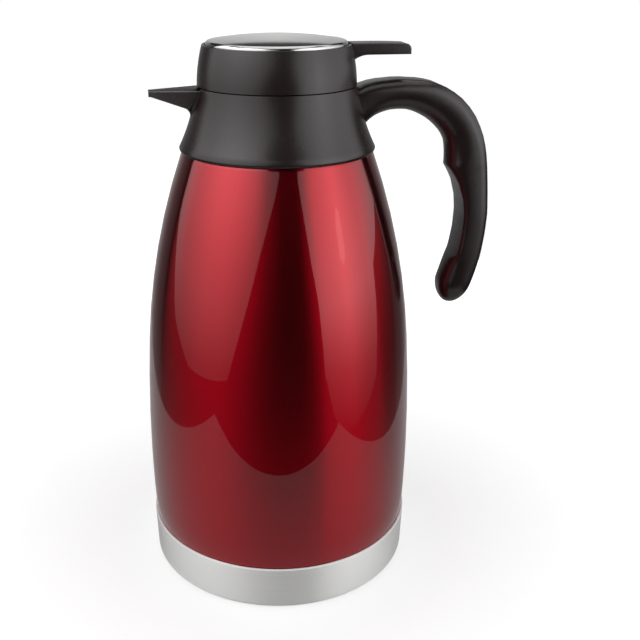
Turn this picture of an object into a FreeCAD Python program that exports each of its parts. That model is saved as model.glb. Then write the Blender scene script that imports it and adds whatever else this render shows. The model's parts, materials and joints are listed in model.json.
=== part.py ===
import FreeCAD, Part
import math
import os
from types import SimpleNamespace

import Sketcher

Vector = FreeCAD.Vector

# Driving dimensions in millimetres; heights rise from the table, radii from the pot's axis,
# the handle points to +X and the spout to -X
SIZES = {
    # outer shell, from its foot up to the edge that the collar covers
    "seam_height": 25.8,
    "belly_rise": 40.8,
    "shoulder_rise": 66.1,
    "rim_rise": 101.3,
    "belly_radius": 74.0,
    "foot_inset": 0.2,
    "shoulder_inset": 2.4,
    "rim_inset": 24.2,
    "steel_wall": 0.8,
    "skirt_step": 1.3,
    # conical seat and neck under the collar
    "seat_rise": 7.5,
    "seat_inset": 3.4,
    "neck_rise": 5.5,
    "neck_length": 7.5,
    "neck_vacuum": 1.5,
    # inner vessel
    "vacuum_gap": 6.2,
    "vessel_lift": 5.0,
    "vessel_corner": 13.0,
    "vessel_shoulder_drop": 6.0,
    # bottom of the outer shell and the base cup
    "bottom_height": 10.0,
    "bottom_dish": 2.0,
    "bottom_dish_radius": 52.0,
    "seal_button_radius": 6.0,
    "seal_button_height": 1.0,
    "getter_radius": 11.0,
    "getter_height": 1.6,
    "cup_gap": 0.2,
    "cup_corner": 2.5,
    "cup_taper": 0.5,
    "foot_ring_width": 5.0,
    "foot_recess": 3.0,
    "foot_slope": 3.0,
    # collar
    "collar_start": 1.2,
    "collar_height": 32.3,
    "collar_wall": 2.4,
    "collar_step": 0.4,
    "collar_sweep": 100.0,
    "lip_height": 1.6,
    "lip_proud": 0.9,
    "ledge_height": 1.8,
    "seat_fit": 0.05,
    # throat ring and neck gasket
    "throat_inset": 11.2,
    "throat_wall": 1.3,
    "throat_depth": 18.0,
    "throat_flange": 2.5,
    "throat_skirt": 9.3,
    "throat_skirt_wall": 1.7,
    "neck_fit": 0.3,
    "gasket_height": 1.2,
    # spout
    "spout_reach": 64.8,
    "spout_root": 37.0,
    "spout_root_half": 13.2,
    "spout_tip_half": 4.6,
    "spout_top_gap": 1.0,
    "spout_fall": 0.7,
    "spout_root_depth": 13.4,
    "spout_tip_depth": 2.7,
    "spout_keel": 3.6,
    "spout_tip_keel": 2.0,
    "spout_wall": 1.3,
    "spout_lip": 1.9,
    "spout_lip_proud": 0.4,
    "channel_floor_gap": 0.5,
    # handle, placed from the collar's top edge
    "handle_width": 22.0,
    "handle_top_corner": 5.5,
    "handle_grip_corner": 8.5,
    "handle_bulb_depth": 8.4,
    "handle_bulb_round": 0.95,
    "scoop_depth": 7.7,
    "scoop_overrun": 3.0,
    "scoop_upper_radius": 45.0,
    "scoop_lower_radius": 105.0,
    "scoop_round": 2.0,
    # screws of the handle
    "handle_screw_radius": 1.4,
    "handle_screw_length": 5.5,
    "handle_screw_head": 2.2,
    "handle_screw_head_height": 1.6,
    "handle_screw_drop": 15.0,
    "handle_screw_spread": 7.0,
    "handle_screw_wall": 2.0,
    "screw_fit": 0.05,
    # lid
    "lid_gap": 0.4,
    "lid_radius": 40.6,
    "lid_height": 19.6,
    "lid_taper": 3.1,
    "lid_crown": 77.0,
    "lid_wall": 2.1,
    "lid_rim_width": 1.2,
    "lid_ledge_width": 2.0,
    "lid_ledge_height": 1.6,
    "lid_fit": 0.3,
    # steel disc on the lid, its seat and its carrier
    "cap_seat_drop": 1.8,
    "cap_seat_height": 1.5,
    "cap_seat_width": 3.0,
    "cap_gap": 0.5,
    "cap_edge_height": 3.7,
    "cap_edge_round": 2.0,
    "cap_edge_inset": 1.6,
    "cap_rise": 2.7,
    "cap_wall": 0.8,
    "carrier_plate": 1.2,
    "carrier_lift": 0.4,
    "carrier_ring": 1.7,
    "carrier_ring_depth": 2.4,
    # deck in the lid and the stopper under it
    "deck_lift": 0.6,
    "deck_height": 2.4,
    "guide_radius": 5.5,
    "guide_rise": 3.0,
    "guide_drop": 3.5,
    "stopper_play": 1.4,
    "stopper_wall": 2.4,
    "stopper_depth": 28.0,
    "stopper_floor": 3.0,
    "stopper_flange": 3.0,
    "stopper_flange_width": 9.0,
    "valve_port": 12.0,
    "window_count": 6,
    "window_width": 17.0,
    "window_height": 3.2,
    "bead_proud": 1.2,
    "bead_height": 0.8,
    "lid_gasket_height": 1.8,
    "lid_gasket_width": 5.0,
    "lid_gasket_lift": 0.3,
    "lid_gasket_fit": 0.3,
    # screws of the deck
    "deck_screw_count": 3,
    "deck_screw_circle": 21.0,
    "deck_screw_radius": 1.5,
    "deck_screw_head": 2.8,
    "deck_screw_head_height": 1.8,
    "deck_screw_length": 4.6,
    # valve
    "stem_radius": 2.2,
    "stem_tip_radius": 1.5,
    "stem_foot_radius": 5.0,
    "stem_foot_height": 1.8,
    "stem_fit": 0.3,
    "stem_seal_width": 1.7,
    "stem_seal_height": 1.5,
    "valve_seal_gap": 0.3,
    "valve_seal_height": 2.0,
    "valve_seal_overlap": 3.0,
    "valve_seal_bore": 9.0,
    "valve_disc_height": 3.0,
    "valve_disc_hub": 5.0,
    "valve_disc_hub_rise": 1.2,
    "valve_disc_bevel": 1.3,
    "lift_collar_radius": 5.5,
    "lift_collar_height": 2.0,
    # spring on the valve
    "spring_radius": 7.3,
    "spring_wire": 1.2,
    "spring_turns": 6,
    "spring_end_pitch": 1.75,
    "spring_end_gap": 0.2,
    # lever and its hinge
    "pivot_inset": 13.6,
    "pivot_rise": 5.1,
    "pin_radius": 1.5,
    "pin_fit": 0.05,
    "hub_radius": 3.6,
    "hub_half_width": 6.0,
    "ear_gap": 0.3,
    "ear_thickness": 2.7,
    "ear_foot": 4.6,
    "fork_height": 3.0,
    "fork_overrun": 2.5,
    "fork_gap": 0.4,
    "fork_play": 0.3,
    "lever_reach": 68.0,
    "lever_half_width": 7.1,
    "lever_proud": 0.1,
    "lever_tip_corner": 2.7,
    "lever_tip_round": 2.9,
    "lever_crown_length": 20.0,
    "lever_crown_fall": 0.5,
    "lever_pad_height": 5.7,
    "lever_throat": 6.0,
    "lever_lap": 2.0,
    "lever_root": 2.0,
    "lever_root_run": 7.4,
    "lever_root_fall": 2.3,
    "lever_round": 0.9,
    "slot_gap": 0.5,
    "slot_drop": 2.9,
}

# Stations along the handle: out from the lid's edge, down from the collar's top,
# the way the handle runs in degrees (negative is downwards) and its thickness
HANDLE_STATIONS = (
    (-4.6, 16.8, 49.0, 19.6),
    (6.7, 8.4, 21.7, 17.3),
    (16.8, 6.0, 6.3, 15.6),
    (28.0, 6.0, -6.8, 15.6),
    (38.6, 8.6, -21.8, 18.0),
    (49.8, 15.6, -41.8, 19.2),
    (58.2, 26.9, -66.8, 19.0),
    (61.1, 39.2, -83.3, 21.0),
    (62.3, 53.3, -85.1, 22.5),
    (63.7, 71.1, -87.8, 21.8),
    (62.8, 92.0, -97.1, 19.8),
    (57.9, 114.5, -106.2, 16.0),
)
# The fingers' scoop is deepest at the station that stands out farthest
SCOOP_STATION = max(range(len(HANDLE_STATIONS)), key=lambda number: HANDLE_STATIONS[number][0])
# Shares of the bulb's depth, where the handle's end rounds off
BULB_SHARES = (0.45, 0.78, 0.95, 0.996)

for number, station in enumerate(HANDLE_STATIONS):
    for word, value in zip(("out", "down", "run", "thick"), station):
        SIZES[f"handle_{word}_{number}"] = value

# Lengths in millimetres and volumes in cubic millimetres that differ by less count as the same
CLOSE = 0.001

doc = FreeCAD.newDocument("carafe")
sheet = doc.addObject("Spreadsheet::Sheet", "sizes")


class Size:
    # a number together with the formula that gives it

    def __init__(self, number, formula=None):
        self.number = float(number)
        self.formula = formula or repr(self.number)
        self.bound = formula is not None

    def joined(self, sign, other, number):
        if not (self.bound or other.bound):
            return Size(number)
        return Size(number, f"({self.formula} {sign} {other.formula})")

    def __add__(self, other):
        other = as_size(other)
        return self.joined("+", other, self.number + other.number)

    def __sub__(self, other):
        other = as_size(other)
        return self.joined("-", other, self.number - other.number)

    def __mul__(self, other):
        other = as_size(other)
        return self.joined("*", other, self.number * other.number)

    def __truediv__(self, other):
        other = as_size(other)
        return self.joined("/", other, self.number / other.number)

    def __neg__(self):
        return as_size(0) - self

    def __radd__(self, other):
        return as_size(other) + self

    def __rsub__(self, other):
        return as_size(other) - self

    def __rmul__(self, other):
        return as_size(other) * self


def as_size(value):
    return value if isinstance(value, Size) else Size(value)


def root(size):
    return Size(math.sqrt(size.number), f"sqrt({size.formula})")


def magnitude(size):
    return Size(abs(size.number), f"abs({size.formula})")


for row, (alias, number) in enumerate(SIZES.items(), start=1):
    sheet.set(f"A{row}", alias)
    sheet.set(f"B{row}", str(number))
    sheet.setAlias(f"B{row}", alias)
doc.recompute()
s = SimpleNamespace(**{alias: Size(sheet.get(alias), f"sizes.{alias}") for alias in SIZES})


def bind(item, prop, size):
    if size.bound:
        item.setExpression(prop, size.formula)


def new_body(label):
    body = doc.addObject("PartDesign::Body", label)
    body.Label = label
    return body


def origin_part(body, role):
    return next(item for item in body.Origin.OriginFeatures if item.Role == role)


def new_sketch(body, name, plane, lift=None):
    sketch = body.newObject("Sketcher::SketchObject", name)
    sketch.AttachmentSupport = [(origin_part(body, plane), "")]
    sketch.MapMode = "FlatFace"
    if lift is not None:
        lift = as_size(lift)
        sketch.AttachmentOffset = FreeCAD.Placement(Vector(0, 0, lift.number), FreeCAD.Rotation())
        bind(sketch, "AttachmentOffset.Base.z", lift)
    return sketch


def constrain(sketch, kind, places, size):
    index = sketch.addConstraint(Sketcher.Constraint(kind, *places, size.number))
    bind(sketch, f"Constraints[{index}]", size)


def arc_between(start, end, bend):
    # a positive bend turns left on the way from start to end, a negative one right
    chord = end - start
    middle = (start + end) * 0.5
    left = Vector(-chord.y, chord.x, 0).normalize()
    reach = math.sqrt(bend * bend - chord.Length * chord.Length / 4)
    centre = middle + left * math.copysign(reach, bend)
    first, last = (start, end) if bend > 0 else (end, start)
    circle = Part.Circle(centre, Vector(0, 0, 1), abs(bend))
    from_angle = math.atan2(first.y - centre.y, first.x - centre.x)
    to_angle = math.atan2(last.y - centre.y, last.x - centre.x)
    return Part.ArcOfCircle(circle, from_angle, to_angle)


def draw(sketch, path):
    # a path lists its corners as x, y and, where the next edge is an arc, its bend radius
    corners = [(as_size(corner[0]), as_size(corner[1])) for corner in path]
    bends = [as_size(corner[2]) if len(corner) > 2 else None for corner in path]
    points = [Vector(x.number, y.number, 0) for x, y in corners]
    edges = []
    for index, bend in enumerate(bends):
        start = points[index]
        end = points[(index + 1) % len(points)]
        if bend is None:
            edges.append((sketch.addGeometry(Part.LineSegment(start, end), False), 1, 2))
            continue
        arc = sketch.addGeometry(arc_between(start, end, bend.number), False)
        edges.append((arc, 1, 2) if bend.number > 0 else (arc, 2, 1))
    for index, (edge, first, last) in enumerate(edges):
        following = edges[(index + 1) % len(edges)]
        sketch.addConstraint(Sketcher.Constraint("Coincident", edge, last, following[0], following[1]))
    for (edge, first, last), (x, y), bend in zip(edges, corners, bends):
        constrain(sketch, "DistanceX", (edge, first), x)
        constrain(sketch, "DistanceY", (edge, first), y)
        if bend is not None:
            constrain(sketch, "Radius", (edge,), magnitude(bend))


def draw_circle(sketch, x, y, radius):
    x, y, radius = as_size(x), as_size(y), as_size(radius)
    circle = Part.Circle(Vector(x.number, y.number, 0), Vector(0, 0, 1), radius.number)
    index = sketch.addGeometry(circle, False)
    constrain(sketch, "DistanceX", (index, 3), x)
    constrain(sketch, "DistanceY", (index, 3), y)
    constrain(sketch, "Radius", (index,), radius)


def box_path(low_x, low_y, high_x, high_y):
    return [(low_x, low_y), (high_x, low_y), (high_x, high_y), (low_x, high_y)]


def volume(body):
    return 0.0 if body.Shape.isNull() else body.Shape.Volume


def finish(body, feature, before):
    # a feature that points away from the solid changes nothing
    doc.recompute()
    if abs(volume(body) - before) < CLOSE:
        raise RuntimeError(f"{body.Label}: {feature.Label} changes nothing")
    return feature


def revolve(body, name, path, kind="Revolution"):
    sketch = new_sketch(body, name + "_outline", "XZ_Plane")
    draw(sketch, path)
    before = volume(body)
    feature = body.newObject("PartDesign::" + kind, name)
    feature.Profile = sketch
    feature.ReferenceAxis = (sketch, ["V_Axis"])
    feature.Angle = 360
    return finish(body, feature, before)


def extrude(body, name, sketch, kind, length, reverse=False, both_ways=False):
    before = volume(body)
    feature = body.newObject("PartDesign::" + kind, name)
    feature.Profile = sketch
    feature.SideType = "Symmetric" if both_ways else "One side"
    feature.Reversed = reverse
    length = as_size(length)
    feature.Length = length.number
    bind(feature, "Length", length)
    return finish(body, feature, before)


def around(body, name, features, count):
    before = volume(body)
    pattern = body.newObject("PartDesign::PolarPattern", name)
    pattern.Originals = features
    pattern.Axis = (origin_part(body, "Z_Axis"), [""])
    pattern.Angle = 360
    pattern.Occurrences = int(count.number)
    bind(pattern, "Occurrences", count)
    body.Tip = pattern
    return finish(body, pattern, before)


def round_edges(body, name, base, edges, radius):
    before = volume(body)
    feature = body.newObject("PartDesign::Fillet", name)
    feature.Base = (base, edges)
    feature.Radius = radius.number
    bind(feature, "Radius", radius)
    return finish(body, feature, before)


def turned(label, path):
    body = new_body(label)
    revolve(body, label + "_turned", path)
    return body


def washer(label, inner, outer, low, high):
    return turned(label, box_path(inner, low, outer, high))


# Levels and radii that several pieces share
belly_height = s.seam_height + s.belly_rise
shoulder_height = belly_height + s.shoulder_rise
rim_height = shoulder_height + s.rim_rise
foot_radius = s.belly_radius - s.foot_inset
shoulder_radius = s.belly_radius - s.shoulder_inset
rim_radius = s.belly_radius - s.rim_inset
seat_height = rim_height + s.seat_rise
seat_radius = rim_radius - s.seat_inset
neck_base = seat_height + s.neck_rise
neck_top = neck_base + s.neck_length
throat_bore = s.lid_radius - s.throat_inset
vessel_bore = throat_bore + s.throat_wall + s.neck_fit
vessel_neck = vessel_bore + s.steel_wall
shell_neck = vessel_neck + s.neck_vacuum + s.steel_wall
skirt_radius = foot_radius - s.skirt_step

collar_bottom = rim_height + s.collar_start
collar_top = collar_bottom + s.collar_height
collar_top_radius = s.lid_radius + s.collar_step
lip_radius = rim_radius + s.lip_proud
chamber_radius = collar_top_radius - s.collar_wall
lip_plate = neck_top + s.steel_wall
flange_bottom = lip_plate + s.gasket_height
flange_top = flange_bottom + s.throat_flange
throat_skirt_bore = shell_neck + s.neck_fit
throat_skirt_radius = throat_skirt_bore + s.throat_skirt_wall
ledge_radius = throat_skirt_radius + s.neck_fit
ledge_bottom = flange_bottom - s.ledge_height


def collar_side(drop):
    # the collar's outer radius on its swept side, at a drop below its top
    tall = s.collar_height - s.lip_height
    chord = (lip_radius - collar_top_radius) * drop / tall
    hollow = drop * (tall - drop) / (2 * s.collar_sweep)
    return collar_top_radius + chord - hollow


cavity_radius = collar_side(collar_top - ledge_bottom) - s.collar_wall
handle_screw_height = collar_top - s.handle_screw_drop
handle_screw_seat = collar_side(s.handle_screw_drop) - s.handle_screw_wall

lid_bottom = collar_top + s.lid_gap
lid_top = lid_bottom + s.lid_height
lid_top_radius = s.lid_radius - s.lid_taper
deck_bottom = lid_bottom + s.deck_lift
deck_top = deck_bottom + s.deck_height
deck_radius = s.lid_radius - s.lid_wall - s.lid_fit
cap_seat = lid_top - s.cap_seat_drop
cap_radius = lid_top_radius - s.lid_rim_width - s.cap_gap
cap_bore = cap_radius - s.cap_seat_width
carrier_bottom = cap_seat - s.carrier_ring_depth

stopper_radius = throat_bore - s.stopper_play
stopper_bore = stopper_radius - s.stopper_wall
stopper_bottom = deck_bottom - s.stopper_depth
valve_floor = stopper_bottom + s.stopper_floor
flange_underside = deck_bottom - s.stopper_flange
gasket_bottom = flange_top + s.lid_gasket_lift
gasket_top = gasket_bottom + s.lid_gasket_height
bead_bottom = gasket_top + s.lid_gasket_fit
bead_top = bead_bottom + s.bead_height

valve_seal_bottom = valve_floor + s.valve_seal_gap
valve_seal_top = valve_seal_bottom + s.valve_seal_height
valve_disc_top = valve_seal_top + s.valve_disc_height
valve_radius = s.valve_port + s.valve_seal_overlap
stem_bore = s.stem_radius + s.stem_fit

pivot_reach = s.lid_radius - s.pivot_inset
pivot_height = deck_top + s.pivot_rise
fork_top = pivot_height + s.fork_height - s.fork_play
lift_bottom = fork_top + s.fork_play
lift_top = lift_bottom + s.lift_collar_height
lever_top = lid_top + s.lever_proud
lever_bottom = lever_top - s.lever_pad_height
lever_neck_low = lever_bottom - s.lever_root_fall
ear_inside = s.hub_half_width + s.ear_gap
ear_outside = ear_inside + s.ear_thickness


def arc_radius(rise, inset):
    # circle that leaves the upright and has moved in by the inset after the rise
    return (rise * rise + inset * inset) / (2 * inset)


foot_arc = arc_radius(s.belly_rise, s.foot_inset)
side_arc = arc_radius(s.shoulder_rise, s.shoulder_inset)
rim_step = s.rim_inset - s.shoulder_inset
# the upper arc goes on from the side arc without a corner and ends at the rim
side_lean = (rim_step * (side_arc - s.shoulder_inset) - s.rim_rise * s.shoulder_rise) / side_arc
top_arc = (rim_step * rim_step + s.rim_rise * s.rim_rise) / (2 * side_lean)


def side_up(inset):
    # the belly's outline from foot to rim, moved inwards by the inset
    return [
        (foot_radius - inset, s.seam_height, foot_arc),
        (s.belly_radius - inset, belly_height, side_arc),
        (shoulder_radius - inset, shoulder_height, top_arc),
        (rim_radius - inset, rim_height),
    ]


def side_down(inset, foot_height):
    # the same outline from the rim back to the foot
    return [
        (rim_radius - inset, rim_height, -top_arc),
        (shoulder_radius - inset, shoulder_height, -side_arc),
        (s.belly_radius - inset, belly_height, -foot_arc),
        (foot_radius - inset, foot_height),
    ]


def make_outer_shell():
    wall = s.steel_wall
    return turned("outer_shell", [
        (skirt_radius, s.bottom_height),
        (skirt_radius, s.seam_height),
        *side_up(0),
        (seat_radius, seat_height),
        (shell_neck, neck_base),
        (shell_neck, neck_top),
        (shell_neck - wall, neck_top),
        (shell_neck - wall, neck_base - wall),
        (seat_radius - wall, seat_height - wall),
        *side_down(wall, s.seam_height + wall),
        (skirt_radius - wall, s.seam_height + wall),
        (skirt_radius - wall, s.bottom_height),
    ])


def make_inner_vessel():
    wall = s.steel_wall
    inset = wall + s.vacuum_gap
    floor = s.bottom_height + s.vessel_lift
    corner = s.vessel_corner
    corner_top = floor + corner
    shoulder = neck_base - s.vessel_shoulder_drop
    vessel_side = foot_radius - inset
    return turned("inner_vessel", [
        (0, floor),
        (vessel_side - corner, floor, corner),
        (vessel_side, corner_top),
        *side_up(inset)[1:],
        (vessel_neck, shoulder),
        (vessel_neck, neck_top),
        (shell_neck, neck_top),
        (shell_neck, lip_plate),
        (vessel_bore, lip_plate),
        (vessel_bore, shoulder - wall),
        *side_down(inset + wall, corner_top)[:3],
        (vessel_side - wall, corner_top, wall - corner),
        (vessel_side - corner, floor + wall),
        (0, floor + wall),
    ])


def make_shell_bottom():
    wall = s.steel_wall
    low = s.bottom_height - wall
    dish = s.bottom_dish
    return turned("shell_bottom", [
        (0, low + dish),
        (s.bottom_dish_radius, low + dish),
        (s.bottom_dish_radius + dish, low),
        (skirt_radius, low),
        (skirt_radius, s.bottom_height),
        (s.bottom_dish_radius + dish, s.bottom_height),
        (s.bottom_dish_radius, s.bottom_height + dish),
        (0, s.bottom_height + dish),
    ])


def make_seal_button():
    top = s.bottom_height - s.steel_wall + s.bottom_dish
    return washer("seal_button", 0, s.seal_button_radius, top - s.seal_button_height, top)


def make_getter():
    low = s.bottom_height + s.bottom_dish
    return washer("getter", 0, s.getter_radius, low, low + s.getter_height)


def make_base_cup():
    wall = s.steel_wall
    inside = skirt_radius + s.cup_gap
    outside = inside + wall
    corner = s.cup_corner
    low_side = outside - s.cup_taper
    ring_outer = low_side - corner
    ring_inner = ring_outer - s.foot_ring_width
    dish = ring_inner - s.foot_slope
    return turned("base_cup", [
        (0, s.foot_recess),
        (dish, s.foot_recess),
        (ring_inner, 0),
        (ring_outer, 0, corner),
        (low_side, corner),
        (outside, s.seam_height),
        (inside, s.seam_height),
        (inside, s.bottom_height - 2 * wall),
        (low_side - wall, corner, wall - corner),
        (ring_outer, wall),
        (ring_inner, wall),
        (dish, s.foot_recess + wall),
        (0, s.foot_recess + wall),
    ])


def make_neck_gasket():
    return washer("neck_gasket", vessel_bore, shell_neck, lip_plate, flange_bottom)


def make_throat_ring():
    tube = throat_bore + s.throat_wall
    return turned("throat_ring", [
        (throat_bore, flange_bottom - s.throat_depth),
        (tube, flange_bottom - s.throat_depth),
        (tube, flange_bottom),
        (throat_skirt_bore, flange_bottom),
        (throat_skirt_bore, flange_bottom - s.throat_skirt),
        (throat_skirt_radius, flange_bottom - s.throat_skirt),
        (throat_skirt_radius, flange_bottom),
        (chamber_radius - s.neck_fit, flange_bottom),
        (chamber_radius - s.neck_fit, flange_top),
        (throat_bore, flange_top),
    ])


def collar_outside():
    # the collar's outer line from its lip up to the lid, with its rounded lip and swept side
    return [
        (rim_radius, collar_bottom, arc_radius(s.lip_height, s.lip_proud)),
        (lip_radius, collar_bottom + s.lip_height, -s.collar_sweep),
        (collar_top_radius, collar_top),
    ]


def spout_section(body, name, reach, half, top, depth, keel):
    # an open boat's section: level top, straight sides and a rounded keel
    sketch = new_sketch(body, name, "YZ_Plane", -reach)
    low = top - depth
    rise = keel / 2
    draw(sketch, [
        (-half, top),
        (-keel, low + rise, arc_radius(keel, rise)),
        (keel, low + rise),
        (half, top),
    ])
    return sketch


def loft(body, name, sections, kind):
    before = volume(body)
    feature = body.newObject("PartDesign::" + kind, name)
    feature.Profile = sections[0]
    feature.Sections = sections[1:]
    feature.Ruled = len(sections) == 2
    return finish(body, feature, before)


def make_collar():
    body = new_body("collar")
    revolve(body, "collar_turned", [
        (0, collar_bottom),
        *collar_outside(),
        (0, collar_top),
    ])
    top = collar_top - s.spout_top_gap
    tip_top = top - s.spout_fall
    spout = [
        spout_section(body, "spout_root_outline", s.spout_root, s.spout_root_half, top,
                      s.spout_root_depth, s.spout_keel),
        spout_section(body, "spout_tip_outline", s.spout_reach, s.spout_tip_half, tip_top,
                      s.spout_tip_depth, s.spout_tip_keel),
    ]
    loft(body, "spout", spout, "AdditiveLoft")
    lip = spout_section(body, "spout_lip_outline", s.spout_reach, s.spout_tip_half + s.spout_lip_proud,
                        tip_top, s.spout_tip_depth + s.spout_lip_proud, s.spout_tip_keel)
    extrude(body, "spout_lip", lip, "Pad", s.spout_lip)
    inner_seat = s.seat_fit + rim_radius - s.seat_inset * s.collar_start / s.seat_rise
    revolve(body, "collar_hollow", [
        (0, collar_bottom),
        (inner_seat, collar_bottom),
        (seat_radius + s.seat_fit, seat_height),
        (cavity_radius, ledge_bottom),
        (ledge_radius, ledge_bottom),
        (ledge_radius, flange_bottom),
        (chamber_radius, flange_bottom),
        (chamber_radius, collar_top),
        (0, collar_top),
    ], "Groove")
    floor = flange_top + s.channel_floor_gap
    tip_floor = tip_top - s.spout_tip_depth + s.spout_wall
    channel = [
        spout_section(body, "channel_root_outline", s.spout_root, s.spout_root_half - s.spout_wall,
                      collar_top, collar_top - floor, s.spout_keel),
        spout_section(body, "channel_tip_outline", s.spout_reach, s.spout_tip_half - s.spout_wall,
                      collar_top, collar_top - tip_floor, s.spout_tip_keel - s.spout_wall / 2),
    ]
    loft(body, "spout_channel", channel, "SubtractiveLoft")
    holes = new_sketch(body, "screw_holes_outline", "YZ_Plane")
    draw_pair(holes, s.handle_screw_radius + s.screw_fit)
    extrude(body, "screw_holes", holes, "Pocket", 2 * rim_radius, reverse=True)
    seats = new_sketch(body, "screw_seats_outline", "YZ_Plane")
    draw_pair(seats, s.handle_screw_head + s.screw_fit)
    extrude(body, "screw_seats", seats, "Pocket", handle_screw_seat, reverse=True)
    return body


def handle_section(body, index, out, height, run, share=0.0):
    # a rounded rectangle, flat on the outer side and nearly half round on the grip side,
    # which grows smaller and rounder by its share of the bulb's depth
    sketch = new_sketch(body, f"handle_section_{index}", "YZ_Plane")
    turn = -run
    sketch.AttachmentOffset = FreeCAD.Placement(
        Vector(0, height.number, out.number), FreeCAD.Rotation(Vector(1, 0, 0), turn.number))
    bind(sketch, "AttachmentOffset.Base.y", height)
    bind(sketch, "AttachmentOffset.Base.z", out)
    bind(sketch, "AttachmentOffset.Rotation.Angle", turn)
    station = min(index, len(HANDLE_STATIONS) - 1)
    shrink = math.sqrt(1 - share * share)
    half = shrink * s.handle_width / 2
    deep = shrink * getattr(s, f"handle_thick_{station}") / 2
    full_round = getattr(s, f"handle_thick_{station}") / 2 * s.handle_bulb_round
    top_corner = shrink * (s.handle_top_corner * (1 - share) + full_round * share)
    grip_corner = shrink * (s.handle_grip_corner * (1 - share) + full_round * share)
    draw(sketch, [
        (-half, -deep + grip_corner, grip_corner),
        (-half + grip_corner, -deep),
        (half - grip_corner, -deep, grip_corner),
        (half, -deep + grip_corner),
        (half, deep - top_corner, top_corner),
        (half - top_corner, deep),
        (-half + top_corner, deep, top_corner),
        (-half, deep - top_corner),
    ])
    return sketch


def make_handle():
    body = new_body("handle")
    sections = []
    for index in range(len(HANDLE_STATIONS)):
        out = s.lid_radius + getattr(s, f"handle_out_{index}")
        height = collar_top - getattr(s, f"handle_down_{index}")
        run = getattr(s, f"handle_run_{index}")
        sections.append(handle_section(body, index, out, height, run))
    for index, share in enumerate(BULB_SHARES, start=len(HANDLE_STATIONS)):
        along = s.handle_bulb_depth * share
        bulb_out = out + along * math.cos(math.radians(run.number))
        bulb_height = height + along * math.sin(math.radians(run.number))
        sections.append(handle_section(body, index, bulb_out, bulb_height, run, share))
    loft(body, "handle_loft", sections, "AdditiveLoft")
    revolve(body, "collar_fit", [
        (0, collar_bottom),
        *collar_outside(),
        (collar_top_radius, collar_top + s.handle_width),
        (0, collar_top + s.handle_width),
    ], "Groove")
    scoop = new_sketch(body, "scoop_outline", "XZ_Plane")
    grip_depth = getattr(s, f"handle_thick_{SCOOP_STATION}") / 2
    grip_side = s.lid_radius + getattr(s, f"handle_out_{SCOOP_STATION}") - grip_depth
    deepest = collar_top - getattr(s, f"handle_down_{SCOOP_STATION}")
    sunk = s.scoop_depth + s.scoop_overrun
    upper_half = root(sunk * (2 * s.scoop_upper_radius - sunk))
    lower_half = root(sunk * (2 * s.scoop_lower_radius - sunk))
    draw(scoop, [
        (grip_side - s.scoop_overrun, deepest - lower_half, s.scoop_lower_radius),
        (grip_side + s.scoop_depth, deepest, s.scoop_upper_radius),
        (grip_side - s.scoop_overrun, deepest + upper_half),
    ])
    hollow = extrude(body, "scoop", scoop, "Pocket", 2 * s.handle_width, both_ways=True)
    # the scoop's long edges are rounded, its ends stay sharp
    edges = []
    for number, edge in enumerate(hollow.Shape.Edges, start=1):
        box = edge.BoundBox
        point = edge.valueAt((edge.FirstParameter + edge.LastParameter) / 2)
        bend = s.scoop_upper_radius if point.z > deepest.number else s.scoop_lower_radius
        centre = Vector((grip_side + s.scoop_depth - bend).number, point.y, deepest.number)
        if abs(point.distanceToPoint(centre) - bend.number) < CLOSE and box.YMin * box.YMax > 0:
            edges.append(f"Edge{number}")
    round_edges(body, "scoop_rounding", hollow, edges, s.scoop_round)
    bores = new_sketch(body, "bores_outline", "YZ_Plane", handle_screw_seat)
    draw_pair(bores, s.handle_screw_radius + s.screw_fit)
    extrude(body, "bores", bores, "Pocket", s.handle_screw_length + s.screw_fit, reverse=True)
    return body


def draw_pair(sketch, radius):
    # the handle's two screws stand side by side
    for side in (-1, 1):
        draw_circle(sketch, side * s.handle_screw_spread / 2, handle_screw_height, radius)


def make_handle_screws():
    body = new_body("handle_screws")
    body.AllowCompound = True
    shanks = new_sketch(body, "shanks_outline", "YZ_Plane", handle_screw_seat)
    draw_pair(shanks, s.handle_screw_radius)
    extrude(body, "shanks", shanks, "Pad", s.handle_screw_length)
    heads = new_sketch(body, "heads_outline", "YZ_Plane", handle_screw_seat)
    draw_pair(heads, s.handle_screw_head)
    extrude(body, "heads", heads, "Pad", s.handle_screw_head_height, reverse=True)
    return body


def make_lid_gasket():
    inner = stopper_radius + s.lid_gasket_fit
    return washer("lid_gasket", inner, inner + s.lid_gasket_width, gasket_bottom, gasket_top)


def make_lid_shell():
    body = new_body("lid_shell")
    recess = lid_top_radius - s.lid_rim_width
    inside = s.lid_radius - s.lid_wall
    ledge = inside - s.lid_ledge_width
    revolve(body, "lid_turned", [
        (s.lid_radius, lid_bottom, s.lid_crown),
        (lid_top_radius, lid_top),
        (recess, lid_top),
        (recess, cap_seat),
        (cap_bore, cap_seat),
        (cap_bore, cap_seat - s.cap_seat_height),
        (lid_top_radius - s.lid_wall, cap_seat - s.cap_seat_height),
        (inside, deck_top + s.lid_ledge_height),
        (ledge, deck_top + s.lid_ledge_height),
        (ledge, deck_top),
        (inside, deck_top),
        (inside, lid_bottom),
    ])
    slot_floor = lever_neck_low - s.slot_drop
    slot = new_sketch(body, "slot_outline", "XY_Plane", slot_floor)
    half = s.lever_half_width + s.slot_gap
    draw(slot, box_path(pivot_reach, -half, 2 * s.lid_radius, half))
    extrude(body, "slot", slot, "Pocket", lid_top, reverse=True)
    return body


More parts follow.
